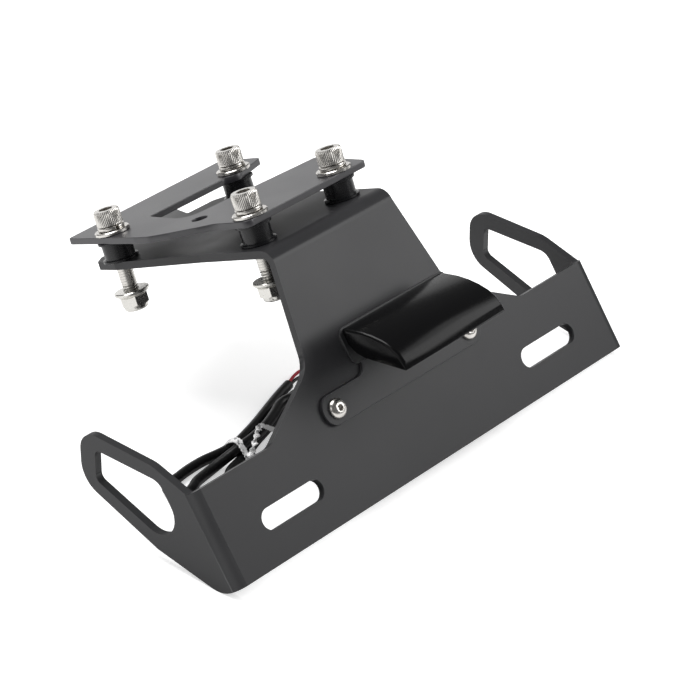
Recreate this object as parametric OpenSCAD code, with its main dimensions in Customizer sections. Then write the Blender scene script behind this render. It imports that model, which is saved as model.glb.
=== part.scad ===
// Motorbike tail tidy: number plate bracket, clamp plate, plate lamp and fasteners.
// Every size is in millimetres.
// The row frame has X to the right, Y forwards under the seat and Z up.

/* [Panel] */
// Width of the plate panel, outside the folded wings
panel_w = 218; // [200:1:240]
// Height of the panel at its sides
panel_h = 37; // [32:1:44]
// Thickness of the folded sheet
sheet_t = 3; // [2:0.5:4]
// Inner radius of the two side folds
fold_r = 1; // [1:0.5:3]
// Inner radius of the bend between neck and flange
bend_r = 3; // [2:0.5:5]
// Tilt of the panel from the floor, in degrees
panel_tilt = 55; // [40:1:70]
// Distance between the two plate slots, centre to centre
slot_spacing = 143.6; // [130:0.2:160]
// Height of the plate slots over the bottom edge
slot_h = 15.5; // [13:0.5:18]
// Length of a plate slot
slot_l = 31; // [20:1:36]
// Width of a plate slot
slot_w = 8; // [6:0.5:9]

/* [Neck] */
// Width of the neck at the bend
neck_w = 64; // [58:0.2:72]
// Height of the bend line over the bottom edge
bend_rise = 97.2; // [88:0.2:106]
// Turn of the flange out of the panel, in degrees
bend_angle = 77; // [65:1:85]
// Length of the flange from the bend line
flange_l = 94.5; // [90:0.5:104]
// Length of the tongue ahead of the flange
tongue_l = 14; // [8:1:20]

/* [Wings] */
// Size of the wings' outline and cut-out against the photographed one
wing_scale = 1; // [0.9:0.02:1.1]

/* [Clamp plate] */
// Thickness of the clamp plate
clamp_t = 2.5; // [2:0.5:4]
// Height of the spacers between clamp plate and flange
spacer_h = 8; // [5:0.5:15]
// Diameter of the spacers' body
spacer_d = 11.6; // [10:0.2:13]
// Diameter of the spacers' lips
spacer_lip_d = 13.6; // [12.2:0.2:14]
// Diameter of the small hole in the clamp plate
pilot_d = 6; // [4:0.5:8]

/* [Hardware] */
// Length of thread inside the front nuts
front_grip = 4.2; // [2:0.2:8]
// Length of thread inside the rear nuts
rear_grip = 2.6; // [2:0.2:8]
// Distance between the two front bolts
front_spacing = 65.6; // [60:0.2:68]
// Distance between the two rear bolts
rear_spacing = 45.2; // [42:0.2:50]
// Place of the front bolts along the flange from the bend line
front_s = 80.1; // [76:0.1:84]
// Place of the rear bolts along the flange from the bend line
rear_s = 14.5; // [14:0.1:22]
// Diameter of the bolts
bolt_d = 6; // [5:0.5:6]
// Length of the bolts under the head
bolt_l = 30; // [28:1:40]
// Diameter of the bolt heads
head_d = 10; // [9:0.5:10.5]
// Diameter of the bolt holes
hole_d = 6.6; // [6.4:0.1:7]
// Diameter of the flat washers
washer_d = 13.4; // [12:0.2:14]
// Thickness of the flat washers
washer_t = 1.5; // [1:0.1:2]
// Thickness of the spring washers
spring_t = 1.7; // [1.2:0.1:2]

/* [Lamp] */
// Height of the lamp's lead hole over the bottom edge
grommet_v = 51; // [49:0.5:53]
// Width of the lamp hood
hood_w = 55; // [48:1:60]
// Wall of the lamp hood
hood_t = 1.6; // [1.2:0.2:2.4]
// Thickness of the lamp bracket
lamp_plate_t = 1.5; // [1:0.5:2]
// Distance between the lamp bracket's screws
lamp_spacing = 73; // [68:0.5:76]
// Height of the lamp bracket's screws over the bottom edge
lamp_h = 36.6; // [34:0.2:40]
// Diameter of the lamp bracket's screws
lamp_screw_d = 4; // [3:0.5:4]

/* [Lead] */
// Diameter of the lead's sheath
lead_d = 4; // [3:0.5:4]
// Diameter of one wire
wire_d = 1.3; // [1:0.1:1.6]

/* [Hidden] */
$fn = 48;
eps = 0.02;
grips = [front_grip, front_grip, rear_grip, rear_grip];
corner_names = ["front_left", "front_right", "rear_left", "rear_right"];
corner_at = [
    [-front_spacing / 2, front_s],
    [front_spacing / 2, front_s],
    [-rear_spacing / 2, rear_s],
    [rear_spacing / 2, rear_s]
];
fold_ro = fold_r + sheet_t;
bend_ro = bend_r + sheet_t;
setback = bend_ro * tan(bend_angle / 2);
clamp_z0 = spacer_h;
clamp_z1 = spacer_h + clamp_t;
head_z = clamp_z1 + washer_t + spring_t;
toe_n = 10 * wing_scale;
toe_r = 12 * wing_scale;
toe_gap = toe_r * (sin(panel_tilt) + tan(22.5) * cos(panel_tilt) - 1);
lift = toe_n * cos(panel_tilt) - toe_gap;
seat_s = (front_s + rear_s) / 2;
seat_y = bend_rise + seat_s * cos(bend_angle);
seat_z = -seat_s * sin(bend_angle);
origin_y = seat_y * cos(panel_tilt) - seat_z * sin(panel_tilt);
origin_z = seat_y * sin(panel_tilt) + seat_z * cos(panel_tilt);
lamp_names = ["left", "right"];
lamp_side = [-1, 1];
screw_l = 12;
lamp_nut_h = 3.2;
grommet_d = lead_d + 4;

// Route of the lead over the floor under the toes: x, y from the panel's bottom edge, height
lead_run = [
    [-1, 46, 34], [-6, 49, 25], [-14, 49, 15], [-25, 46.5, 7], [-35, 42.5, 3], [-44, 39.6, 2], [-51.5, 40, 2],
    [-57.8, 43.6, 2], [-58, 50, 2], [-53.4, 55.8, 2], [-44.6, 58.9, 2], [-33, 63.2, 2], [-25, 65.6, 2], [-19, 67.6, 2],
    [-12, 70.6, 2], [-4, 73.4, 2], [4, 74.4, 2], [13, 72, 2], [19.5, 66, 2], [20.5, 59, 2], [16, 53, 2],
    [9.5, 51.5, 2.4], [4, 54, 3.6], [1, 59, 4.8], [-1.5, 64.5, 5.8], [-6, 68.8, 6.3], [-12, 69.4, 6.3], [-19.5, 66.2, 6.2],
    [-28, 63, 6.2], [-36.5, 61.2, 6.1], [-44, 61.8, 5.2], [-50.5, 62.6, 3.6], [-58, 62.6, 2.2], [-66, 60.9, 2],
    [-71.5, 59.8, 2], [-76, 60.2, 2], [-79, 62.6, 2], [-79.2, 66.2, 2], [-76.4, 69, 2], [-71, 69.8, 2], [-63, 69.2, 2], [-55, 68.6, 2],
    [-46, 67.3, 2], [-38.5, 67.5, 2], [-30, 69.6, 2], [-22, 72, 2], [-13, 75.2, 2], [-4, 78.3, 2], [5, 81, 2]
];
red_run = [[5, 81, 2.7], [11, 83.2, 2.7], [17, 84, 2.2], [24, 83, 1.2], [31, 80, 0.7], [38, 75, 0.7], [44, 69, 0.7]];
black_run = [[5, 81, 1.3], [11, 82.4, 1.2], [17, 82, 0.8], [24, 79.5, 0.7], [30, 75.5, 0.7], [36, 70, 0.7]];

function unit(a) = a / norm(a);
function turn_of(a, b) = (a[0] * b[1] - a[1] * b[0] >= 0) ? 1 : -1;

// Rounds one corner at p1 between p0 and p2 with radius r
function one_corner(p0, p1, p2, r) =
    r < 0.01 ? [p1] :
    let (u = unit(p0 - p1))
    let (w = unit(p2 - p1))
    let (half = acos(max(-1, min(1, u * w))) / 2)
    let (centre = p1 + unit(u + w) * r / sin(half))
    let (first = p1 + u * r / tan(half) - centre)
    let (way = turn_of(-u, w))
    let (sweep = 180 - 2 * half)
    let (steps = max(2, ceil(sweep / 9)))
    [for (i = [0 : steps])
        let (a = way * sweep * i / steps)
        centre + [first[0] * cos(a) - first[1] * sin(a), first[0] * sin(a) + first[1] * cos(a)]];

// Rounds every corner of a closed outline, each with its own radius
function round_corners(points, radii) =
    let (n = len(points))
    [for (i = [0 : n - 1])
        each one_corner(points[(i + n - 1) % n], points[i], points[(i + 1) % n], radii[i])];

// A point of the panel's frame as x, y from its bottom edge and height over the floor
function floor_of(p) = [
    p[0],
    p[1] * cos(panel_tilt) - p[2] * sin(panel_tilt),
    p[1] * sin(panel_tilt) + p[2] * cos(panel_tilt) + lift
];

function ring_at(c, t, r, k) =
    let (side = unit(cross(t, [0, 0, 1])))
    let (up = cross(side, t))
    [for (j = [0 : k - 1]) c + r * (cos(360 * j / k) * side + sin(360 * j / k) * up)];

// Tube of k sides swept along a route's points
module tube(route, r, k) {
    n = len(route);
    rings = [for (i = [0 : n - 1])
        ring_at(route[i], unit(route[min(n - 1, i + 1)] - route[max(0, i - 1)]), r, k)];
    walls = [for (i = [0 : n - 2]) for (j = [0 : k - 1]) each [
        [i * k + j, i * k + (j + 1) % k, (i + 1) * k + (j + 1) % k],
        [i * k + j, (i + 1) * k + (j + 1) % k, (i + 1) * k + j]
    ]];
    first = [for (j = [0 : k - 1]) k - 1 - j];
    last = [for (j = [0 : k - 1]) (n - 1) * k + j];
    polyhedron(points = [for (ring = rings) each ring], faces = concat([first], walls, [last]));
}

// Floor's own frame: y from the panel's bottom edge, z up from the floor
module on_floor() {
    translate([0, -origin_y, -origin_z - lift]) children();
}

// Panel's own frame: x right, y up along the sheet, z out of the front face
module on_panel() {
    translate([0, -origin_y, -origin_z]) rotate([panel_tilt, 0, 0]) children();
}

// Flange's own frame: x right, y forwards along the flange, z out of its top face
module on_flange() {
    on_panel() translate([0, bend_rise, 0]) rotate([-bend_angle, 0, 0]) children();
}

// Web of the panel with its neck, up to the start of the bend
module panel_outline() {
    half = panel_w / 2 - fold_ro;
    slope = tan(29.1);
    flare_x = neck_w / 2 + 7.4;
    flare_v = panel_h + 17;
    start_x = flare_x + 17 / slope;
    top_v = bend_rise - setback + eps;
    pts = [
        [-half, 0], [half, 0], [half, panel_h], [start_x, panel_h], [flare_x, flare_v], [neck_w / 2, top_v],
        [-neck_w / 2, top_v], [-flare_x, flare_v], [-start_x, panel_h], [-half, panel_h]
    ];
    polygon(round_corners(pts, [0, 0, 0, 6, 12, 0, 0, 12, 6, 0]));
}

module slot_hole(x) {
    run = (slot_l - slot_w) / 2;
    translate([x - run, slot_h, -sheet_t - 1]) cylinder(d = slot_w, h = sheet_t + 2);
    translate([x + run, slot_h, -sheet_t - 1]) cylinder(d = slot_w, h = sheet_t + 2);
    translate([x - run, slot_h - slot_w / 2, -sheet_t - 1]) cube([2 * run, slot_w, sheet_t + 2]);
}

// Side outline of a wing as depth behind the panel's face and height
function wing_points() = [
    for (p = [[0, 0], [0, 37], [3.2, 37], [14, 50.6], [42.3, 71.2], [54.3, 53.8], [32, 22], [10, 0]])
    [p[0] * wing_scale, p[1] * wing_scale]
];
wing_radii = [for (r = [0, 0, 1.5, 14, 8, 11, 8, 12]) r * wing_scale];
function cut_points() = [
    for (p = [[39.6, 62.2], [46.9, 52], [14.3, 7.3], [14.3, 44.4]])
    [p[0] * wing_scale, p[1] * wing_scale]
];
cut_radii = [for (r = [2.5, 3, 9, 6]) r * wing_scale];

// Right wing: quarter round fold and flat leg, cut to the side outline
module right_wing() {
    depth = 60 * wing_scale + 4;
    span = 78 * wing_scale;
    intersection() {
        union() {
            translate([panel_w / 2 - sheet_t, -1, -depth]) cube([sheet_t, span, depth - fold_ro]);
            translate([panel_w / 2 - fold_ro, -1, -fold_ro])
                rotate([-90, 0, 0]) rotate([0, 0, -90]) rotate_extrude(angle = 90)
                translate([fold_r, 0]) square([sheet_t, span]);
        }
        difference() {
            wing_slab(wing_points(), wing_radii, 0);
            wing_slab(cut_points(), cut_radii, 1);
        }
    }
}

module wing_slab(points, radii, over) {
    translate([panel_w / 2 - fold_ro - 2 - over, 0, 0])
        rotate([0, 90, 0]) linear_extrude(fold_ro + 4 + 2 * over)
        polygon(round_corners(points, radii));
}

// The bend between neck and flange
module neck_bend() {
    translate([0, bend_rise - setback, -bend_ro])
        rotate([0, -90, 0]) rotate_extrude(angle = bend_angle)
        translate([bend_r, -neck_w / 2]) square([sheet_t, neck_w]);
}

module flange_outline() {
    y0 = setback - eps;
    w0 = neck_w / 2;
    tip = flange_l + tongue_l;
    flare = 16.4 + tongue_l * 0.466;
    pts = [
        [-w0, y0], [w0, y0], [33, 36], [37, 80], [36, 90.5], [30.5, flange_l],
        [16.4, flange_l], [flare, tip], [-8, tip], [-8, flange_l],
        [-30.5, flange_l], [-36, 90.5], [-37, 80], [-33, 36]
    ];
    polygon(round_corners(pts, [0, 0, 0, 0, 2, 3, 0.8, 1, 1, 0.8, 3, 2, 0, 0]));
}

module main_bracket() {
    color("#2b2b2c") {
        difference() {
            union() {
                on_panel() translate([0, 0, -sheet_t]) linear_extrude(sheet_t) panel_outline();
                on_panel() neck_bend();
                on_flange() translate([0, 0, -sheet_t]) linear_extrude(sheet_t) flange_outline();
                on_panel() right_wing();
                on_panel() mirror([1, 0, 0]) right_wing();
            }
            on_panel() slot_hole(-slot_spacing / 2);
            on_panel() slot_hole(slot_spacing / 2);
            for (c = corner_at) {
                on_flange() translate([c[0], c[1], -sheet_t - 1]) cylinder(d = hole_d, h = sheet_t + 2);
            }
            for (s = lamp_side) {
                on_panel() translate([s * lamp_spacing / 2, lamp_h, -sheet_t - 1])
                    cylinder(d = lamp_screw_d + 0.4, h = sheet_t + 2);
            }
            on_panel() translate([0, grommet_v, -sheet_t - 1]) cylinder(d = grommet_d, h = sheet_t + 2);
        }
    }
}

// C-shaped plate that grips the tail with the flange, open to the right
module clamp_plate() {
    far = front_s + 23.9;
    right = front_spacing / 2 + 16;
    pts = [
        [-30, rear_s - 5.5], [-30, 27], [-33, 33], [-37.5, 44], [-40.3, 52], [-40.4, 60],
        [-37.3, far - 2.5], [right, far], [right - 0.5, front_s + 0.4], [29, front_s - 6.8],
        [24, front_s - 3.4], [-16.5, front_s - 3.4], [-20.6, 58], [-20.5, 50],
        [right - 5.6, 44.2], [34.5, rear_s - 5.5]
    ];
    color("#39393a") {
        difference() {
            on_flange() translate([0, 0, clamp_z0]) linear_extrude(clamp_t)
                polygon(round_corners(pts, [3, 10, 10, 10, 6, 6, 1.5, 3, 3, 4, 3, 1.5, 0, 6, 2, 3]));
            for (c = corner_at) {
                on_flange() translate([c[0], c[1], clamp_z0 - 1]) cylinder(d = hole_d, h = clamp_t + 2);
            }
            on_flange() translate([-23, 41.6, clamp_z0 - 1]) cylinder(d = pilot_d, h = clamp_t + 2);
        }
    }
}

module cap_bolt(c) {
    color("#c9c9c6") on_flange() translate([c[0], c[1], head_z]) {
        difference() {
            union() {
                cylinder(d = head_d, h = bolt_d - 0.4);
                translate([0, 0, bolt_d - 0.4 - eps]) cylinder(d1 = head_d, d2 = head_d - 0.8, h = 0.4 + eps);
                translate([0, 0, -bolt_l]) cylinder(d = bolt_d, h = bolt_l + eps);
            }
            translate([0, 0, bolt_d - 3.2]) cylinder(d = 5 / cos(30), h = 4, $fn = 6);
        }
    }
}

module ring(d_out, d_in, h) {
    difference() {
        cylinder(d = d_out, h = h);
        translate([0, 0, -1]) cylinder(d = d_in, h = h + 2);
    }
}

module spring_washer(c) {
    color("#b9b9b6") on_flange() translate([c[0], c[1], clamp_z1 + washer_t]) ring(head_d + 0.4, bolt_d + 0.4, spring_t);
}

module flat_washer(c) {
    color("#c9c9c6") on_flange() translate([c[0], c[1], clamp_z1]) ring(washer_d, bolt_d + 0.4, washer_t);
}

module spacer(c) {
    color("#202021") on_flange() translate([c[0], c[1], 0]) {
        difference() {
            union() {
                cylinder(d = spacer_d, h = spacer_h);
                cylinder(d = spacer_lip_d, h = 1);
                translate([0, 0, spacer_h - 1]) cylinder(d = spacer_lip_d, h = 1);
            }
            translate([0, 0, -1]) cylinder(d = bolt_d + 0.4, h = spacer_h + 2);
        }
    }
}

// Lock nut with a flange at one end and a round collar at the other, run on to the bolt's end
module flange_nut(c, grip) {
    top = min(-sheet_t, head_z - bolt_l + grip);
    color("#c2c2bf") on_flange() translate([c[0], c[1], top]) mirror([0, 0, 1]) {
        difference() {
            union() {
                cylinder(d = 13.6, h = 1.2);
                translate([0, 0, 1.2 - eps]) cylinder(d1 = 13.6, d2 = 10.6, h = 1.2);
                cylinder(d = 10 / cos(30), h = 6, $fn = 6);
                cylinder(d = 9.6, h = 7.2);
                translate([0, 0, 7.2 - eps]) cylinder(d1 = 9.6, d2 = 8, h = 0.8);
            }
            translate([0, 0, -1]) cylinder(d = bolt_d + 0.1, h = 10);
        }
    }
}

// Thin plate with two ears about the lamp screws and a tab for the lamp
module lamp_bracket() {
    half = lamp_spacing / 2;
    pts = [
        [-half - 6.5, lamp_h - 5.6], [half + 6.5, lamp_h - 5.6],
        [half + 6.5, lamp_h + 6], [17, lamp_h + 6], [17, grommet_v + 6], [-17, grommet_v + 6], [-17, lamp_h + 6],
        [-half - 6.5, lamp_h + 6]
    ];
    color("#262627") difference() {
        on_panel() linear_extrude(lamp_plate_t)
            polygon(round_corners(pts, [5.4, 5.4, 5.4, 4, 3, 3, 4, 5.4]));
        for (s = lamp_side) {
            on_panel() translate([s * half, lamp_h, -1]) cylinder(d = lamp_screw_d + 0.3, h = lamp_plate_t + 2);
        }
        on_panel() translate([0, grommet_v, -1]) cylinder(d = grommet_d, h = lamp_plate_t + 2);
    }
}

// Side outline of the lamp hood: distance out of the panel's face, height over the lead's hole
hood_pts = [
    [11.6, 10.3], [14, 9.8], [20, 7.2], [24.2, 4.7], [28, 1.8], [31.2, -1.4], [33.2, -4.6],
    [34, -7.8], [33.4, -10.8], [16.5, -2], [13.6, 0.6], [11.6, 4.6]
];
hood_in = [
    [13.2, 8.6], [19.6, 5.6], [23.6, 3.2], [27.2, 0.4], [30.2, -2.6], [31.6, -5.4],
    [31.8, -12], [20, -12], [13.2, -6]
];

module side_slab(points, w) {
    translate([-w / 2, grommet_v, 0]) rotate([0, -90, 0]) mirror([0, 0, 1]) linear_extrude(w) polygon(points);
}

module lamp_hood() {
    color("#19191a") on_panel() difference() {
        side_slab(hood_pts, hood_w);
        side_slab(hood_in, hood_w - 2 * hood_t);
        translate([-10, grommet_v - 1, 11]) cube([20, 6, 4]);
    }
}

// Block between lamp bracket and hood, with the plate that closes the hood's back
module lamp_base() {
    half = hood_w / 2 + 1.6;
    low = grommet_v - 3;
    high = grommet_v + 10.9;
    back = [[-half, low], [half, low], [half, high], [-half, high]];
    color("#1c1c1d") on_panel() difference() {
        union() {
            translate([-15, grommet_v - 4.5, lamp_plate_t]) cube([30, 11, 11.6 - lamp_plate_t]);
            translate([0, 0, 10.2]) linear_extrude(1.4) polygon(round_corners(back, [2.5, 2.5, 2.5, 2.5]));
        }
        translate([0, grommet_v, lamp_plate_t - 1]) cylinder(d = 5, h = 12);
    }
}

module lamp_board() {
    color("#d8d8d0") on_panel() side_slab([[14, 3], [30.6, -5.8], [31, -5], [14.4, 3.9]], hood_w - 2 * hood_t - 3);
}

module lamp_lens() {
    color("#dfe6ea") on_panel()
        side_slab([[13.2, 1.2], [31.8, -8.6], [31.8, -7.1], [13.2, 2.7]], hood_w - 2 * hood_t);
}

module lamp_screw(s) {
    color("#c9c9c6") on_panel() translate([s * lamp_spacing / 2, lamp_h, lamp_plate_t]) {
        difference() {
            union() {
                cylinder(d = 7.6, h = 1);
                translate([0, 0, 1 - eps]) cylinder(d1 = 7.6, d2 = 5, h = 1.2 + eps);
                translate([0, 0, -screw_l]) cylinder(d = lamp_screw_d, h = screw_l + eps);
            }
            translate([0, 0, 0.8]) cylinder(d = 2.5 / cos(30), h = 3, $fn = 6);
        }
    }
}

module lamp_washer(s) {
    color("#c9c9c6") on_panel() translate([s * lamp_spacing / 2, lamp_h, -sheet_t - 0.8])
        ring(9, lamp_screw_d + 0.3, 0.8);
}

module lamp_nut(s) {
    color("#c2c2bf") on_panel() translate([s * lamp_spacing / 2, lamp_h, -sheet_t - 0.8 - lamp_nut_h]) {
        difference() {
            cylinder(d = 7 / cos(30), h = lamp_nut_h, $fn = 6);
            translate([0, 0, -1]) cylinder(d = lamp_screw_d + 0.1, h = lamp_nut_h + 2);
        }
    }
}

// Rubber bush for the lead in the panel and the lamp bracket
module grommet() {
    color("#1b1b1b") on_panel() translate([0, grommet_v, 0]) difference() {
        union() {
            translate([0, 0, -sheet_t]) cylinder(d = grommet_d, h = sheet_t + lamp_plate_t);
            translate([0, 0, -sheet_t - 1.4]) cylinder(d = grommet_d + 3.5, h = 1.4);
        }
        translate([0, 0, -sheet_t - 2]) cylinder(d = lead_d, h = sheet_t + lamp_plate_t + 3);
    }
}

module lead() {
    start = [
        floor_of([0, grommet_v, lamp_plate_t + 4]),
        floor_of([0, grommet_v, -sheet_t]),
        floor_of([0, grommet_v, -sheet_t - 9])
    ];
    color("#161616") on_floor() tube(concat(start, lead_run), lead_d / 2, 10);
}

module wire_red() {
    color("#b3202c") on_floor() tube(red_run, wire_d / 2, 8);
}

module wire_black() {
    color("#161616") on_floor() tube(black_run, wire_d / 2, 8);
}

main_bracket();
clamp_plate();
for (i = [0 : 3]) {
    cap_bolt(corner_at[i]);
    spring_washer(corner_at[i]);
    flat_washer(corner_at[i]);
    spacer(corner_at[i]);
    flange_nut(corner_at[i], grips[i]);
}
lamp_bracket();
lamp_hood();
lamp_base();
lamp_board();
lamp_lens();
for (i = [0 : 1]) {
    lamp_screw(lamp_side[i]);
    lamp_washer(lamp_side[i]);
    lamp_nut(lamp_side[i]);
}
grommet();
lead();
wire_red();
wire_black();
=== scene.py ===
# %% [markdown]
# A motorbike tail tidy: one folded steel sheet that carries the number plate, a C-shaped clamp
# plate on four bolts, a plate lamp and its lead. The exact shapes come from the CAD part, which
# is loaded as a fixed frame. This lesson gives each piece its finish and its small detail.

import math

import bmesh
import bpy
from mathutils import Matrix, Vector


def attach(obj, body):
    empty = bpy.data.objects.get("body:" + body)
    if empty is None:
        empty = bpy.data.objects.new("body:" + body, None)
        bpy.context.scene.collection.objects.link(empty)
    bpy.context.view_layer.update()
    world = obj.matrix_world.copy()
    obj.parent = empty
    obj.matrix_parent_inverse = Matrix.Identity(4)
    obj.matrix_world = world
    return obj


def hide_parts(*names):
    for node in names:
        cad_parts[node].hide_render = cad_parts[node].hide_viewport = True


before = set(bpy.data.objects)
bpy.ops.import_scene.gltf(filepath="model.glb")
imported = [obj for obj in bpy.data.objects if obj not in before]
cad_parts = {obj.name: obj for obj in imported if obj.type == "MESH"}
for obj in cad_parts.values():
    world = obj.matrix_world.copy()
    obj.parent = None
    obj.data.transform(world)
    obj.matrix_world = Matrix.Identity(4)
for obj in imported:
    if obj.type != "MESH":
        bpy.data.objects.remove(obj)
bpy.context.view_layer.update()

# %% [markdown]
# All sizes on such a bracket are read in millimetres, while Blender counts in metres. Two small
# functions keep the numbers readable: one for lengths, one for points.

# %% Millimetres and the part's own frames
def mm(value):
    return value / 1000.0


def at(x, y, z):
    return Vector((mm(x), mm(y), mm(z)))


PANEL_TILT = math.radians(55)
BEND = math.radians(77)
BEND_RISE = 97.2
ORIGIN_Y = 99.6074
ORIGIN_Z = 61.9027
FLOOR_Z = mm(-66.9576)
to_panel = Matrix.Translation(at(0, -ORIGIN_Y, -ORIGIN_Z)) @ Matrix.Rotation(PANEL_TILT, 4, "X")
to_flange = to_panel @ Matrix.Translation(at(0, BEND_RISE, 0)) @ Matrix.Rotation(-BEND, 4, "X")
to_floor = Matrix.Translation(at(0, -ORIGIN_Y, 0)) @ Matrix.Translation((0, 0, FLOOR_Z))
print("flange origin in the row frame:", to_flange.translation)

# %% [markdown]
# The camera stands where the photographer's stood: a long lens, high on the left, looking down
# at about thirty degrees. Its place was fitted to points read in the photograph, on the folds,
# the slots, the lamp's screws, the bolts and the wings.

# %% Camera
LENS_MM = 151.94
CAMERA_PLACE = (-0.70055, -0.66721, 0.5222)
right = Vector((0.6586, -0.7524, 0.0)).normalized()
up = Vector((0.3857, 0.3375, 0.8587)).normalized()
back = right.cross(up).normalized()
up = back.cross(right)
camera_data = bpy.data.cameras.new("camera")
camera_data.sensor_width = 36
camera_data.lens = LENS_MM
camera = bpy.data.objects.new("camera", camera_data)
bpy.context.scene.collection.objects.link(camera)
turn = Matrix((right, up, back)).transposed().to_4x4()
camera.matrix_world = Matrix.Translation(CAMERA_PLACE) @ turn
bpy.context.scene.camera = camera
print("camera at", camera.matrix_world.translation)

# %% [markdown]
# Materials are built from nodes. Colours are written as the hex values a picture editor shows,
# and one function turns them to the linear numbers that a shader works with.

# %% Colour and node helpers
def linear(hex_colour):
    parts = [int(hex_colour[i : i + 2], 16) / 255 for i in (1, 3, 5)]
    return [p / 12.92 if p <= 0.04045 else ((p + 0.055) / 1.055) ** 2.4 for p in parts] + [1.0]


def add_node(tree, kind, settings=None, links=None):
    node = tree.nodes.new(kind)
    for name, value in (settings or {}).items():
        if name in node.inputs:
            node.inputs[name].default_value = value
        else:
            setattr(node, name, value)
    for name, source in (links or {}).items():
        tree.links.new(source, node.inputs[name])
    return node


def start_material(name, settings):
    material = bpy.data.materials.new(name)
    material.use_nodes = True
    tree = material.node_tree
    shader = tree.nodes["Principled BSDF"]
    for socket, value in settings.items():
        shader.inputs[socket].default_value = value
    place = add_node(tree, "ShaderNodeTexCoord").outputs["Object"]
    return material, tree, shader, place


def grain(tree, place, size_mm, detail=3.0):
    settings = {"Scale": 1000.0 / size_mm, "Detail": detail, "Roughness": 0.6}
    return add_node(tree, "ShaderNodeTexNoise", settings, {"Vector": place}).outputs["Fac"]


def ramp(tree, source, low, high, dark, light):
    node = add_node(tree, "ShaderNodeValToRGB", links={"Fac": source})
    node.color_ramp.elements[0].position = low
    node.color_ramp.elements[1].position = high
    node.color_ramp.elements[0].color = dark
    node.color_ramp.elements[1].color = light
    return node.outputs["Color"]


def between(tree, source, low, high):
    settings = {"From Min": 0.3, "From Max": 0.7, "To Min": low, "To Max": high}
    return add_node(tree, "ShaderNodeMapRange", settings, {"Value": source}).outputs["Result"]


def bump(tree, shader, source, depth_mm, strength=1.0):
    settings = {"Distance": mm(depth_mm), "Strength": strength}
    node = add_node(tree, "ShaderNodeBump", settings, {"Height": source})
    tree.links.new(node.outputs["Normal"], shader.inputs["Normal"])


print("helpers ready; mid grey is", linear("#808080")[:3])

# %% [markdown]
# The bracket is powder coated: a baked plastic film, satin, with a very fine orange peel. The
# peel is about half a millimetre wide and a few hundredths deep, so it only softens the
# highlights. A slow change of roughness keeps the large panel from looking flat.

# %% Powder coat
def powder_coat(name, dark, light, rough, index=1.5):
    material, tree, shader, place = start_material(name, {"IOR": index})
    slow = grain(tree, place, 38.0, 2.0)
    shade = ramp(tree, slow, 0.35, 0.65, linear(dark), linear(light))
    tree.links.new(shade, shader.inputs["Base Color"])
    peel = grain(tree, place, 0.55, 4.0)
    tree.links.new(between(tree, slow, rough - 0.03, rough + 0.03), shader.inputs["Roughness"])
    bump(tree, shader, peel, 0.03, 0.5)
    return material


bracket_coat = powder_coat("satin_powder_coat", "#242426", "#28282a", 0.42)
clamp_coat = powder_coat("satin_powder_coat_clamp_plate", "#2a292d", "#2e2d31", 0.34, 1.75)
lamp_plate_coat = powder_coat("satin_powder_coat_lamp_plate", "#222224", "#262628", 0.4)
print("coats:", bracket_coat.name, clamp_coat.name, lamp_plate_coat.name)

# %% [markdown]
# The fasteners are stainless steel, turned and cold headed. The metal is light and fairly
# smooth. Its fine turning lines are only a soft noise in the roughness here.

# %% Stainless steel
def stainless(name, colour, rough, line_mm):
    settings = {"Metallic": 1.0, "Base Color": linear(colour)}
    material, tree, shader, place = start_material(name, settings)
    lines = grain(tree, place, line_mm, 2.0)
    tree.links.new(between(tree, lines, rough - 0.07, rough + 0.08), shader.inputs["Roughness"])
    return material


bright_steel = stainless("stainless_steel_turned", "#dedbd6", 0.22, 0.9)
thread_steel = stainless("stainless_steel_thread", "#b9b8b4", 0.3, 0.8)
nut_steel = stainless("stainless_steel_nut", "#e2e0db", 0.2, 0.6)
print("metals:", bright_steel.name, thread_steel.name, nut_steel.name)

# %% [markdown]
# Plastics and rubber: the lamp is moulded ABS with a smooth dark skin, the spacers are black
# anodised aluminium, the lead's sheath is soft PVC, and the lens is clear acrylic. The twist
# tie is a thin white film with bumped folds, and grey painted shade in their creases.

# %% Plastics, rubber and glass
def plain_plastic(name, colour, rough, grain_mm=0.8, depth_mm=0.01, specular=0.5):
    settings = {"Base Color": linear(colour), "IOR": 1.5, "Specular IOR Level": specular}
    material, tree, shader, place = start_material(name, settings)
    fine = grain(tree, place, grain_mm, 3.0)
    tree.links.new(between(tree, fine, rough - 0.05, rough + 0.05), shader.inputs["Roughness"])
    bump(tree, shader, fine, depth_mm, 0.5)
    return material


lamp_plastic = plain_plastic("moulded_abs_black", "#0a0a0b", 0.2, 0.7, 0.004, 0.18)
base_plastic = plain_plastic("moulded_abs_base", "#151517", 0.45)
spacer_finish = plain_plastic("anodised_aluminium_black", "#161618", 0.25, 0.4, 0.008)
rubber = plain_plastic("rubber_grommet", "#1a1a1b", 0.6)
sheath = plain_plastic("pvc_sheath_black", "#0c0c0d", 0.36, 1.2, 0.03)
wire_red_skin = plain_plastic("pvc_wire_red", "#b3162c", 0.35)
wire_black_skin = plain_plastic("pvc_wire_black", "#151516", 0.35)
board_white = plain_plastic("circuit_board_white", "#dcdcd2", 0.5)
chip_yellow = plain_plastic("lamp_chip_phosphor", "#e8d36a", 0.35)
lens_look = {"Base Color": linear("#e8eef0"), "Roughness": 0.08, "IOR": 1.49, "Transmission Weight": 0.9}
lens_clear = start_material("clear_acrylic", lens_look)[0]


def wrinkled_film(name, dark, light):
    material, tree, shader, place = start_material(name, {"Roughness": 0.15, "IOR": 1.5})
    folds_and_crease_shade = grain(tree, place, 1.6, 2.0)
    # The grey in the folds' creases is painted shade; the same noise also bumps the folds.
    shade = ramp(tree, folds_and_crease_shade, 0.36, 0.46, linear(dark), linear(light))
    tree.links.new(shade, shader.inputs["Base Color"])
    bump(tree, shader, folds_and_crease_shade, 0.2, 0.5)
    return material


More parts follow.
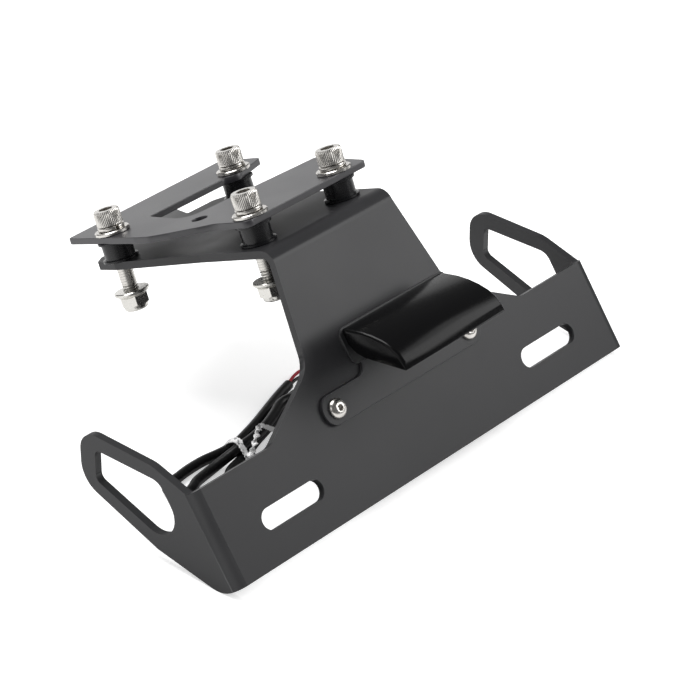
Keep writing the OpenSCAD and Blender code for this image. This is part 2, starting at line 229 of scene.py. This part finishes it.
tie_skin = wrinkled_film("tie_plastic_white", "#7c7c80", "#ffffff")
tinned = stainless("tinned_copper", "#cfccc6", 0.3, 0.4)
print("plastics ready")

# %% [markdown]
# Every piece is finished in the same way: its place goes into the mesh, it gets smooth shading
# and one material, and it rides on the part.

# %% Settling a piece
def deselect():
    if bpy.context.object and bpy.context.object.mode != "OBJECT":
        bpy.ops.object.mode_set(mode="OBJECT")
    bpy.ops.object.select_all(action="DESELECT")


def activate(piece):
    deselect()
    piece.select_set(True)
    bpy.context.view_layer.objects.active = piece


def settle(piece, material, replaced=None, smooth=35):
    activate(piece)
    bpy.ops.object.transform_apply(location=True, rotation=True, scale=True)
    bpy.ops.object.shade_smooth_by_angle(angle=math.radians(smooth))
    piece.data.materials.clear()
    piece.data.materials.append(material)
    if replaced:
        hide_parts(replaced)
    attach(piece, "root")
    return piece


print("pieces ride on the frame's root")

# %% [markdown]
# A large plane with smooth shading shows false gradients, because its corners borrow their
# direction from the rounded edges. So large planes, and the rims of the sheets, are shaded flat.

# %% Flat planes
WIDE_AREA = mm(11) * mm(11)
RIM_AREA = mm(3.5) * mm(3.5)
RIM_BREADTH = mm(0.8)
SAME_WAY = 0.999998
SAME_DEPTH = mm(0.01)


def is_wide(mesh, face):
    """True for a large face, and for a smaller one that is broad for its outline."""
    rim = sum((mesh.vertices[a].co - mesh.vertices[b].co).length for a, b in face.edge_keys)
    broad = face.area > RIM_AREA and face.area / rim > RIM_BREADTH
    return face.area > WIDE_AREA or broad


def flatten_planes(piece):
    """Large planes are shaded flat, so that only bends and edges carry gradients."""
    faces = piece.data.polygons
    wide = [face for face in faces if is_wide(piece.data, face)]
    planes = [(face.normal.copy(), face.center.dot(face.normal)) for face in wide]
    for face in faces:
        for normal, depth in planes:
            same_way = face.normal.dot(normal) > SAME_WAY
            if same_way and abs(face.center.dot(normal) - depth) < SAME_DEPTH:
                face.use_smooth = False


print("planes start at", WIDE_AREA, "square metres")

# %% [markdown]
# The lamp hood's flat ends are rounded much wider than its other edges. The edges between an
# end and the upper side get a weight, and a bevel modifier rounds only those.

# %% Rounded ends
def is_end_edge(edge, to_local):
    """True where a flat end meets the upper side, both seen in the panel's frame."""
    if len(edge.link_faces) != 2:
        return False
    first, second = (to_local @ face.normal for face in edge.link_faces)
    if abs(first.x) < abs(second.x):
        first, second = second, first
    return abs(first.x) > 0.99 and abs(second.x) < 0.01 and second.y > 0.05


def round_ends(piece, width_mm, segments):
    to_local = to_panel.to_3x3().inverted()
    half = max(abs(v.co.x) for v in piece.data.vertices)
    mesh = bmesh.new()
    mesh.from_mesh(piece.data)
    mesh.normal_update()
    weight = mesh.edges.layers.float.new("bevel_weight_edge")
    for edge in mesh.edges:
        outer = all(abs(v.co.x) > half - mm(0.01) for v in edge.verts)
        edge[weight] = 1.0 if outer and is_end_edge(edge, to_local) else 0.0
    mesh.to_mesh(piece.data)
    mesh.free()
    step = piece.modifiers.new("ends", "BEVEL")
    step.width = mm(width_mm)
    step.segments = segments
    step.limit_method = "WEIGHT"
    bpy.ops.object.modifier_apply(modifier=step.name)


print("end rounding ready")

# %% [markdown]
# Sheet metal that was cut by laser and coated has edges that are rounded by a few tenths of a
# millimetre. They catch the light as thin bright lines. The CAD solid has sharp edges, so a copy
# of it is merged, its flat faces are joined, and a bevel modifier rounds the edges.

# %% Copies of CAD nodes with softened edges
MERGE_DISTANCE = mm(0.002)
JOIN_ANGLE = math.radians(0.6)


def soften(node, material, width_mm, segments=2, angle=35, end_mm=0.0, planes=True):
    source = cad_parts[node]
    piece = bpy.data.objects.new(node + "_finished", source.data.copy())
    bpy.context.scene.collection.objects.link(piece)
    activate(piece)
    bpy.ops.object.mode_set(mode="EDIT")
    bpy.ops.mesh.select_all(action="SELECT")
    bpy.ops.mesh.remove_doubles(threshold=MERGE_DISTANCE)
    bpy.ops.mesh.dissolve_limited(angle_limit=JOIN_ANGLE)
    bpy.ops.object.mode_set(mode="OBJECT")
    if end_mm:
        round_ends(piece, end_mm, 4)
    edge = piece.modifiers.new("edge", "BEVEL")
    edge.width = mm(width_mm)
    edge.segments = segments
    edge.limit_method = "ANGLE"
    edge.angle_limit = math.radians(angle)
    bpy.ops.object.modifier_apply(modifier=edge.name)
    settle(piece, material, node, 32)
    if planes:
        flatten_planes(piece)
    print(piece.name, len(piece.data.polygons), "faces")


soften("main_bracket", bracket_coat, 0.3)
soften("clamp_plate", clamp_coat, 0.3)
soften("lamp_bracket", lamp_plate_coat, 0.25)

# %% [markdown]
# Turned pieces start as a circle that is extruded step by step along the axis, each step with
# its own radius. This is the same as reading a lathe drawing from one end to the other.

# %% A lathe made of extrude steps
def turned(name, steps, sides=48):
    deselect()
    radius, height = steps[0]
    bpy.ops.mesh.primitive_circle_add(
        vertices=sides, radius=mm(radius), fill_type="NGON", location=(0, 0, mm(height))
    )
    piece = bpy.context.object
    piece.name = name
    bpy.ops.object.transform_apply(location=True)
    bpy.ops.object.mode_set(mode="EDIT")
    bpy.ops.mesh.select_all(action="SELECT")
    for next_radius, next_height in steps[1:]:
        rise = (0, 0, mm(next_height - height))
        bpy.ops.mesh.extrude_region_move(TRANSFORM_OT_translate={"value": rise})
        if next_radius != radius:
            share = next_radius / radius
            centre = (0, 0, mm(next_height))
            bpy.ops.transform.resize(value=(share, share, 1), center_override=centre)
        radius, height = next_radius, next_height
    bpy.ops.mesh.select_all(action="SELECT")
    bpy.ops.mesh.normals_make_consistent(inside=False)
    bpy.ops.object.mode_set(mode="OBJECT")
    return piece


def cut(piece, tool, how="DIFFERENCE"):
    activate(piece)
    step = piece.modifiers.new("cut", "BOOLEAN")
    step.operation = how
    step.solver = "EXACT"
    step.object = tool
    bpy.ops.object.modifier_apply(modifier=step.name)
    bpy.data.objects.remove(tool)
    return piece


def prism(width_mm, low, high, sides=6):
    deselect()
    radius = mm(width_mm / 2 / math.cos(math.pi / sides))
    bpy.ops.mesh.primitive_cylinder_add(
        vertices=sides, radius=radius, depth=mm(high - low), location=(0, 0, mm((low + high) / 2))
    )
    bpy.ops.object.transform_apply(location=True)
    return bpy.context.object


def rod(diameter_mm, low, high, sides):
    """A prism measured across its corners, for round holes."""
    return prism(diameter_mm * math.cos(math.pi / sides), low, high, sides)


def join(first, *others):
    activate(first)
    for other in others:
        other.select_set(True)
    bpy.ops.object.join()
    return first


print("lathe ready")

# %% [markdown]
# A cap head bolt: a straight knurled head with a chamfered top and a hexagon socket, over a
# thread of 1 mm pitch. The thread is one turn's profile that the screw modifier winds round.

# %% The bolt
BOLT_L = 30.0
KNURL_SIDES = 96
THREAD_STEPS = 24


def knurl(piece, low, high, depth_mm):
    for v in piece.data.vertices:
        if mm(low) < v.co.z < mm(high):
            angle = math.atan2(v.co.y, v.co.x)
            number = round(angle / (2 * math.pi) * KNURL_SIDES)
            if number % 2:
                share = 1 - mm(depth_mm) / math.hypot(v.co.x, v.co.y)
                v.co.x *= share
                v.co.y *= share


def thread(name, radius, pitch, turns, top):
    deselect()
    bpy.ops.mesh.primitive_plane_add(size=1)
    piece = bpy.context.object
    piece.name = name
    bpy.ops.object.mode_set(mode="EDIT")
    bpy.ops.mesh.select_all(action="SELECT")
    bpy.ops.mesh.delete(type="ONLY_FACE")
    bpy.ops.object.mode_set(mode="OBJECT")
    inner = radius - 0.61 * pitch
    outline = [(inner, 0.0), (radius, 0.42 * pitch), (radius, 0.55 * pitch), (inner, 0.97 * pitch)]
    order = [0, 1, 3, 2]
    for number, (r, h) in zip(order, outline):
        piece.data.vertices[number].co = at(r, 0, h)
    bpy.ops.object.mode_set(mode="EDIT")
    bpy.ops.mesh.select_all(action="DESELECT")
    bpy.ops.object.mode_set(mode="OBJECT")
    for edge in piece.data.edges:
        edge.select = set(edge.vertices) == {0, 2}
    bpy.ops.object.mode_set(mode="EDIT")
    bpy.ops.mesh.select_mode(type="EDGE")
    bpy.ops.mesh.delete(type="EDGE")
    bpy.ops.object.mode_set(mode="OBJECT")
    wind = piece.modifiers.new("wind", "SCREW")
    wind.axis = "Z"
    wind.angle = 2 * math.pi
    wind.screw_offset = mm(pitch)
    wind.iterations = turns
    wind.steps = THREAD_STEPS
    wind.render_steps = THREAD_STEPS
    wind.use_merge_vertices = True
    wind.merge_threshold = mm(0.05)
    bpy.ops.object.modifier_apply(modifier=wind.name)
    for v in piece.data.vertices:
        v.co.z += mm(top - turns * pitch)
    return piece


def make_bolt():
    head_steps = [(4.6, 0), (5.0, 0.25), (5.0, 0.9), (5.0, 4.9), (4.95, 5.3), (4.55, 6.0)]
    head = turned("bolt_master", head_steps, KNURL_SIDES)
    knurl(head, 0.8, 5.35, 0.18)
    cut(head, prism(5.0, 2.9, 8.0))
    core_steps = [(2.1, -BOLT_L), (2.6, -BOLT_L + 0.7), (2.6, -24), (2.95, -23.6), (2.95, 0.1)]
    core = turned("core", core_steps, 32)
    return join(head, core)


bolt_master = make_bolt()
thread_master = thread("thread_master", 2.98, 1.0, 23, -6.0)
print("bolt head and core:", len(bolt_master.data.polygons), "thread:", len(thread_master.data.polygons))

# %% [markdown]
# Each bolt is the same model, moved into the flange's frame at its corner. The mesh itself is
# moved, so the object stays at the origin and its pattern stays put. A corner's three numbers
# are its place across, its place along the flange and the height of its nut's seat.

# %% The four bolts
CORNERS = {
    "front_left": (-32.8, 80.1, -12.1),
    "front_right": (32.8, 80.1, -12.1),
    "rear_left": (-22.6, 14.5, -13.7),
    "rear_right": (22.6, 14.5, -13.7),
}
HEAD_Z = 13.7
FLAT_WASHER_Z = 10.5
SPRING_WASHER_Z = 12.0


def copy_to(master, name, matrix):
    piece = bpy.data.objects.new(name, master.data.copy())
    bpy.context.scene.collection.objects.link(piece)
    piece.data.transform(matrix)
    return piece


def corner_matrix(corner, height, turn_deg=0.0):
    x, along, _ = CORNERS[corner]
    spin = Matrix.Rotation(math.radians(turn_deg), 4, "Z")
    return to_flange @ Matrix.Translation(at(x, along, height)) @ spin


for number, corner in enumerate(CORNERS):
    spot = corner_matrix(corner, HEAD_Z, 17 + 41 * number)
    bolt = copy_to(bolt_master, "cap_bolt_finished_" + corner, spot)
    settle(bolt, bright_steel, "cap_bolt_" + corner, 28)
    winding = copy_to(thread_master, "cap_bolt_thread_" + corner, spot)
    settle(winding, thread_steel, None, 40)
for master in (bolt_master, thread_master):
    bpy.data.objects.remove(master)
print("bolts placed:", list(CORNERS))

# %% [markdown]
# The washers: a flat one, stamped, with one rounded rim, and a split spring washer on top. The
# spring washer is a square section spun round the axis for a little less than a full turn and
# then lifted evenly, which gives the step at its split.

# %% Washers
def flat_ring(name, outer, inner, height, rim):
    steps = [(outer - rim, 0), (outer, rim), (outer, height - rim), (outer - rim, height)]
    piece = turned(name, steps, 64)
    hole = rod(2 * inner, -1, height + 1, 48)
    return cut(piece, hole)


def split_ring(name, outer, inner, height, lift):
    deselect()
    bpy.ops.mesh.primitive_plane_add(size=1)
    piece = bpy.context.object
    piece.name = name
    section = [(inner, 0.12), (outer, 0.12), (inner, height - 0.25), (outer, height - 0.25)]
    for v, (r, h) in zip(piece.data.vertices, section):
        v.co = at(r, 0, h)
    bpy.ops.object.mode_set(mode="EDIT")
    bpy.ops.mesh.select_all(action="SELECT")
    bpy.ops.mesh.spin(steps=56, angle=math.radians(346), center=(0, 0, 0), axis=(0, 0, 1))
    bpy.ops.mesh.select_all(action="SELECT")
    bpy.ops.mesh.normals_make_consistent(inside=False)
    bpy.ops.object.mode_set(mode="OBJECT")
    for v in piece.data.vertices:
        angle = math.atan2(v.co.y, v.co.x) % (2 * math.pi)
        v.co.z += mm(lift) * (angle / (2 * math.pi) - 0.5)
    activate(piece)
    edge = piece.modifiers.new("edge", "BEVEL")
    edge.width = mm(0.15)
    edge.segments = 2
    edge.limit_method = "ANGLE"
    bpy.ops.object.modifier_apply(modifier=edge.name)
    return piece


flat_master = flat_ring("flat_master", 6.7, 3.2, 1.5, 0.3)
split_master = split_ring("split_master", 5.1, 3.2, 1.7, 0.25)
for number, corner in enumerate(CORNERS):
    flat = copy_to(flat_master, "flat_washer_finished_" + corner, corner_matrix(corner, FLAT_WASHER_Z))
    settle(flat, bright_steel, "flat_washer_" + corner)
    turn_to = corner_matrix(corner, SPRING_WASHER_Z, 250 + 30 * number)
    split = copy_to(split_master, "spring_washer_finished_" + corner, turn_to)
    settle(split, bright_steel, "spring_washer_" + corner)
for master in (flat_master, split_master):
    bpy.data.objects.remove(master)
print("washers placed")

# %% [markdown]
# The spacers are turned bushes with a thin lip at each end. The nuts are lock nuts with a
# flange: a conical flange, a hexagon with chamfered corners, and a round collar that holds the
# locking ring. The chamfer is what is left when a hexagonal prism is cut by a wide cone. The
# prism starts inside the flange, so that their undersides don't share a plane.

# %% Spacers and nuts
def make_nut():
    cone = turned("cone", [(5.0, 0), (5.9, 0.5), (5.9, 5.45), (5.05, 6.0)], 64)
    hexagon = cut(prism(10.0, 0.3, 6.0), cone, "INTERSECT")
    flange = turned("flange", [(6.5, 0), (6.8, 0.3), (6.8, 1.1), (5.25, 2.4)], 64)
    joined = cut(hexagon, flange, "UNION")
    collar_steps = [(4.6, 5.0), (4.6, 7.0), (4.4, 7.5), (3.9, 7.85), (3.5, 8.0)]
    joined = cut(joined, turned("collar", collar_steps, 64), "UNION")
    return cut(joined, rod(6.15, -1, 10, 48))


spacer_steps = [
    (6.5, 0), (6.8, 0.2), (6.8, 0.9), (6.5, 1.0), (5.8, 1.15),
    (5.8, 6.85), (6.5, 7.0), (6.8, 7.1), (6.8, 7.8), (6.5, 8.0),
]
spacer_master = turned("spacer_master", spacer_steps, 64)
cut(spacer_master, prism(6.4, -1, 9, 48))
nut_master = make_nut()
for number, corner in enumerate(CORNERS):
    bush = copy_to(spacer_master, "spacer_finished_" + corner, corner_matrix(corner, 0))
    settle(bush, spacer_finish, "spacer_" + corner)
    drop = CORNERS[corner][2]
    upside = corner_matrix(corner, drop, 25 + 20 * number) @ Matrix.Rotation(math.pi, 4, "X")
    nut = copy_to(nut_master, "flange_nut_finished_" + corner, upside)
    settle(nut, nut_steel, "flange_nut_" + corner)
for master in (spacer_master, nut_master):
    bpy.data.objects.remove(master)
print("spacers and nuts placed")

# %% [markdown]
# The lamp is a moulded hood over a small base, with a clear lens underneath and a white board
# with three light chips behind it. Its shape is the CAD's, with softened edges and the wider
# rounding at the hood's two ends.

# %% Lamp
CHIP_RISE = 49.4
CHIP_HEIGHT = 22.2
CHIP_TILT = math.radians(28 + 90)
soften("lamp_hood", lamp_plastic, 0.35, 3, 42, 2.2, False)
soften("lamp_base", base_plastic, 0.5, 2)
soften("lamp_lens", lens_clear, 0.2, 2)
soften("lamp_board", board_white, 0.1, 1)
soften("grommet", rubber, 0.3, 2, 50)


def chip(name, x):
    body = turned(name, [(1.7, 0), (1.75, 0.2), (1.75, 0.9), (1.5, 1.1), (0.6, 1.15)], 24)
    under = to_panel @ Matrix.Translation(at(x, CHIP_RISE, CHIP_HEIGHT))
    body.data.transform(under @ Matrix.Rotation(CHIP_TILT, 4, "X"))
    return settle(body, chip_yellow)


for name, x in (("light_chip_left", -14), ("light_chip_middle", 0), ("light_chip_right", 14)):
    chip(name, x)
print("lamp placed")

# %% [markdown]
# The lamp bracket is held by two button head screws, with a washer and a nut behind the panel.

# %% Lamp screws
SCREW_ACROSS = 36.5
SCREW_RISE = 36.6


def screw_matrix(x, height):
    return to_panel @ Matrix.Translation(at(x, SCREW_RISE, height))


def make_button():
    steps = [(3.55, 0), (3.8, 0.2), (3.75, 0.7), (3.45, 1.3), (2.9, 1.8), (2.1, 2.1), (1.9, 2.15)]
    head = turned("button_master", steps, 64)
    cut(head, prism(2.5, 0.7, 4.0))
    shank = turned("shank", [(1.55, -12), (1.95, -11.5), (1.95, 0.1)], 32)
    return join(head, shank)


button_master = make_button()
ring_master = flat_ring("ring_master", 4.5, 2.15, 0.8, 0.2)
small_cone = turned("small_cone", [(3.5, 0), (4.1, 0.4), (4.1, 2.8), (3.5, 3.2)], 48)
small_nut = cut(prism(7.0, 0.0, 3.2), small_cone, "INTERSECT")
cut(small_nut, rod(4.1, -1, 5, 32))
for side, x in (("left", -SCREW_ACROSS), ("right", SCREW_ACROSS)):
    spot = screw_matrix(x, 1.5) @ Matrix.Rotation(math.radians(12), 4, "Z")
    screw = copy_to(button_master, "lamp_screw_finished_" + side, spot)
    settle(screw, bright_steel, "lamp_screw_" + side, 40)
    washer = copy_to(ring_master, "lamp_washer_finished_" + side, screw_matrix(x, -3.8))
    settle(washer, bright_steel, "lamp_washer_" + side)
    nut = copy_to(small_nut, "lamp_nut_finished_" + side, screw_matrix(x, -7.0))
    settle(nut, nut_steel, "lamp_nut_" + side)
for master in (button_master, ring_master, small_nut):
    bpy.data.objects.remove(master)
print("lamp screws placed")

# %% [markdown]
# The lead is a limp sheath of 4 mm with two wires in it. It leaves the panel through the
# grommet, drops to the surface the bracket lies on, and is gathered in two loops by a tie. Each
# cord is one open curve. The lead follows the CAD tube, except that it leaves it by up to 3 mm
# at the turn hidden behind the left wing and by about 1 mm at the tie.

# %% Lead and wires
LEAD_D = 4.0
WIRE_D = 1.3
LEAD_START = [(0, 24.746, 49.986), (0, 31.71, 45.11), (0, 39.082, 39.948)]
LEAD_RUN = [
    (-1, 46, 34), (-6, 49, 25), (-14, 49, 15), (-25, 46.5, 7), (-35, 42.5, 3), (-44, 39.6, 2),
    (-51.5, 40, 2), (-57.8, 43.6, 2), (-58.6, 50, 2), (-54.2, 56, 2), (-44.6, 58.9, 2),
    (-33, 63.2, 2), (-25, 65.6, 2), (-19, 67.6, 2), (-12, 70.6, 2), (-4, 73.4, 2), (4, 74.4, 2),
    (13, 72, 2), (19.5, 66, 2), (20.5, 59, 2), (16, 53, 2), (9.5, 51.5, 2.4), (4, 54, 3.6),
    (1, 59, 4.8), (-1.5, 64.5, 5.8), (-6, 68.8, 6.3), (-12, 69.4, 6.3), (-19.5, 66.2, 6.2),
    (-28, 63, 6.2), (-36.5, 61.2, 6.1), (-44, 61.2, 5.3), (-50.5, 61.9, 3.6), (-58, 62.1, 2.2),
    (-66, 61, 2), (-69.8, 59.4, 2), (-73.2, 58.5, 2), (-76.4, 59.8, 2), (-77.7, 63, 2),
    (-76.4, 66.2, 2), (-73.2, 67.5, 2), (-69, 67.9, 2), (-63, 68.6, 2), (-55, 68.6, 2),
    (-46, 67.3, 2), (-38.5, 67.5, 2), (-30, 69.6, 2), (-22, 72, 2), (-13, 75.2, 2),
    (-4, 78.3, 2), (5, 81, 2),
]
RED_RUN = [
    (5, 81, 2.7), (11, 83.2, 2.7), (17, 84, 2.2), (24, 83, 1.2), (31, 80, 0.7), (38, 75, 0.7),
    (44, 69, 0.7),
]
BLACK_RUN = [
    (5, 81, 1.3), (11, 82.4, 1.2), (17, 82, 0.8), (24, 79.5, 0.7), (30, 75.5, 0.7),
    (36, 70, 0.7),
]


def smooth_route(points, per_span=5):
    """A smooth line through all points, with per_span steps between two of them."""
    line = []
    for i in range(len(points) - 1):
        p0, p1 = points[max(0, i - 1)], points[i]
        p2, p3 = points[i + 1], points[min(len(points) - 1, i + 2)]
        for step in range(per_span):
            t = step / per_span
            point = 2 * p1 + (p2 - p0) * t
            point = point + (2 * p0 - 5 * p1 + 4 * p2 - p3) * t**2
            point = point + (3 * p1 - p0 - 3 * p2 + p3) * t**3
            line.append(0.5 * point)
    return line + [points[-1]]


def lay_cord(name, run, diameter_mm, material, node):
    points = smooth_route([to_floor @ at(*p) for p in run])
    data = bpy.data.curves.new(name, "CURVE")
    data.dimensions = "3D"
    data.bevel_depth = mm(diameter_mm / 2)
    data.bevel_resolution = 6
    data.resolution_u = 1
    data.use_fill_caps = True
    spline = data.splines.new("POLY")
    spline.points.add(len(points) - 1)
    for dot, place in zip(spline.points, points):
        dot.co = (*place, 1.0)
    spline.use_smooth = True
    piece = bpy.data.objects.new(name, data)
    bpy.context.scene.collection.objects.link(piece)
    data.materials.append(material)
    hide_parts(node)
    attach(piece, "root")


def bare_tip(name, run):
    before, end = (to_floor @ at(*p) for p in run[-2:])
    tip = turned(name, [(0.3, -0.4), (0.42, -0.3), (0.42, 3.6), (0.3, 4.0)], 16)
    ahead = (end - before).to_track_quat("Z", "Y").to_matrix().to_4x4()
    tip.data.transform(Matrix.Translation(end) @ ahead)
    return settle(tip, tinned)


red_tip = bare_tip("wire_tip_red", RED_RUN)
lay_cord("lead_wire_red", RED_RUN, WIRE_D, wire_red_skin, "wire_red")
black_tip = bare_tip("wire_tip_black", BLACK_RUN)
lay_cord("lead_wire_black", BLACK_RUN, WIRE_D, wire_black_skin, "wire_black")

# %% [markdown]
# A twist tie holds the loops. It is a ribbon of shiny film: a band round the three runs, a knot
# beside them, a twisted tail that lies over the bundle, and its flat end. The lead is laid
# after it, because the tie belongs to the lead.

# %% Twist tie
ALONG = Vector((0.94, 0.34, 0.0))
BAND = [
    (-43, 66.6, 0.6), (-42.6, 69.2, 1), (-42.6, 69.5, 2.4), (-42.6, 68.3, 4.2),
    (-42.9, 66.2, 6), (-43.2, 64.2, 7.3), (-43.4, 62, 7.8), (-43.8, 60, 7.2), (-44, 58.4, 5.6),
    (-44, 57, 4), (-44, 56.5, 2), (-44, 57.6, 0.7), (-43.8, 60, 0.6),
]
KNOT = [
    (-44, 57, 4.2), (-43, 55.6, 4.6), (-42, 55, 3.2), (-42.4, 55.6, 1.4), (-43.8, 56, 1.6),
    (-44.2, 55.8, 3.4), (-43, 54.8, 4.2), (-41.6, 55.4, 3), (-41.8, 56, 1.8), (-43, 55.6, 2.4),
]
TAIL = [
    (-43, 55.8, 4.4), (-41.6, 56, 6.4), (-39.6, 57, 7.8), (-37, 58.4, 8.6), (-34.6, 60, 8.9),
    (-32.4, 61.6, 9),
]
END_STRIP = [
    (-32.6, 61.4, 9.1), (-31.4, 61.6, 9), (-30, 61.2, 8.2), (-28.4, 60.8, 7),
    (-26.6, 60.4, 5.6), (-24.8, 60, 4.4),
]


def ribbon(name, run, width_mm, thick_mm, turns=0.0, ripple=0.15):
    points = smooth_route([to_floor @ at(*p) for p in run], 6)
    deselect()
    bpy.ops.mesh.primitive_grid_add(x_subdivisions=1, y_subdivisions=len(points) - 1, size=1)
    piece = bpy.context.object
    piece.name = name
    ordered = sorted(piece.data.vertices, key=lambda v: (round(v.co.y, 6), v.co.x))
    for i, centre in enumerate(points):
        forward = (points[min(i + 1, len(points) - 1)] - points[max(i - 1, 0)]).normalized()
        flat = (ALONG - forward * ALONG.dot(forward)).normalized()
        spin = Matrix.Rotation(2 * math.pi * turns * i / len(points), 3, forward)
        half = (spin @ flat) * (mm(width_mm / 2) * (1 + ripple * math.sin(1.9 * i)))
        ordered[2 * i].co = centre - half
        ordered[2 * i + 1].co = centre + half
    activate(piece)
    wall = piece.modifiers.new("wall", "SOLIDIFY")
    wall.thickness = mm(thick_mm)
    wall.offset = 0
    bpy.ops.object.modifier_apply(modifier=wall.name)
    return piece


def face_outwards(piece):
    activate(piece)
    bpy.ops.object.mode_set(mode="EDIT")
    bpy.ops.mesh.select_all(action="SELECT")
    bpy.ops.mesh.normals_make_consistent(inside=False)
    bpy.ops.object.mode_set(mode="OBJECT")


band = ribbon("twist_tie", BAND, 3.0, 0.35)
knot = ribbon("tie_knot", KNOT, 1.8, 0.4, 1.3, 0.3)
tail = ribbon("tie_tail", TAIL, 2.2, 0.5, 2.4, 0.3)
strip = ribbon("tie_strip", END_STRIP, 1.8, 0.3, 0.1)
tie = join(band, knot, tail, strip)
face_outwards(tie)
settle(tie, tie_skin, None, 50)
lay_cord("lead_sheath", LEAD_START + LEAD_RUN, LEAD_D, sheath, "lead")

# %% [markdown]
# The bracket lies in a white studio. The floor is a pale diffuse surface that keeps the soft
# shadow. It has a faint glow that only the camera sees, which lifts its white.

# %% Studio floor
WHITE = (1, 1, 1, 1)
FLOOR_GLOW = 0.5
deselect()
bpy.ops.mesh.primitive_plane_add(size=8, location=(0, 0, FLOOR_Z))
floor = bpy.context.object
floor.name = "studio_floor"
floor_look = {"Base Color": linear("#efefef"), "Roughness": 0.9}
floor_paint, floor_tree, floor_shader, _ = start_material("white_floor_paint", floor_look)
path = add_node(floor_tree, "ShaderNodeLightPath")
glow = add_node(floor_tree, "ShaderNodeEmission", {"Color": WHITE, "Strength": FLOOR_GLOW})
to_camera = {"Fac": path.outputs["Is Camera Ray"], 2: glow.outputs[0]}
seen = add_node(floor_tree, "ShaderNodeMixShader", None, to_camera)
both = {0: floor_shader.outputs[0], 1: seen.outputs[0]}
total = add_node(floor_tree, "ShaderNodeAddShader", None, both)
floor_out = next(n for n in floor_tree.nodes if n.type == "OUTPUT_MATERIAL")
floor_tree.links.new(total.outputs[0], floor_out.inputs["Surface"])
floor.data.materials.append(floor_paint)
print("floor at z =", FLOOR_Z)

# %% [markdown]
# Soft lamps give the satin coat its broad gradients: one from the right and in front for the
# panel, one above for the flange and the clamp plate, one on the left for the wing, one low
# behind, and a small one near the neck. The world fills the rest. It looks darker in gloss than
# in diffuse light, and white to the camera.

# %% Lamps and world
WORLD_FILL = 0.55
WORLD_GLOSS = 0.14


def soft_lamp(name, place, aim, size, power):
    data = bpy.data.lights.new(name, "AREA")
    data.shape = "RECTANGLE"
    data.size, data.size_y = size
    data.energy = power
    lamp = bpy.data.objects.new(name, data)
    bpy.context.scene.collection.objects.link(lamp)
    lamp.location = place
    lamp.rotation_euler = (Vector(aim) - Vector(place)).to_track_quat("-Z", "Y").to_euler()
    return lamp


soft_lamp("lamp_right_front", (0.9, -0.9, 0.75), (0, -0.03, 0), (0.9, 0.7), 2.6)
soft_lamp("lamp_above", (-0.15, 0.6, 1.15), (0, 0, 0), (0.8, 0.8), 13)
soft_lamp("lamp_left", (-1.3, 0.1, 0.6), (0, 0, 0), (0.7, 0.7), 1.4)
soft_lamp("lamp_low_behind", (0.85, 1.0, 0.22), (0, 0.05, 0), (0.9, 0.45), 0.9)
soft_lamp("lamp_near_neck", (0.36, -0.35, 0.3), (0, -0.03, 0), (0.42, 0.42), 1.0)

world = bpy.data.worlds.new("white_studio")
bpy.context.scene.world = world
world.use_nodes = True
tree = world.node_tree
tree.nodes.clear()
rays = add_node(tree, "ShaderNodeLightPath")
fill = add_node(tree, "ShaderNodeBackground", {"Color": WHITE, "Strength": WORLD_FILL})
mirror = add_node(tree, "ShaderNodeBackground", {"Color": WHITE, "Strength": WORLD_GLOSS})
by_gloss = {"Fac": rays.outputs["Is Glossy Ray"], 1: fill.outputs[0], 2: mirror.outputs[0]}
room = add_node(tree, "ShaderNodeMixShader", None, by_gloss)
white = add_node(tree, "ShaderNodeBackground", {"Color": WHITE, "Strength": 1.0})
by_camera = {"Fac": rays.outputs["Is Camera Ray"], 1: room.outputs[0], 2: white.outputs[0]}
pick = add_node(tree, "ShaderNodeMixShader", None, by_camera)
add_node(tree, "ShaderNodeOutputWorld", None, {"Surface": pick.outputs[0]})
bpy.context.scene.view_settings.view_transform = "Standard"
print("studio lit")

# %% End of the scene
print("scene built")
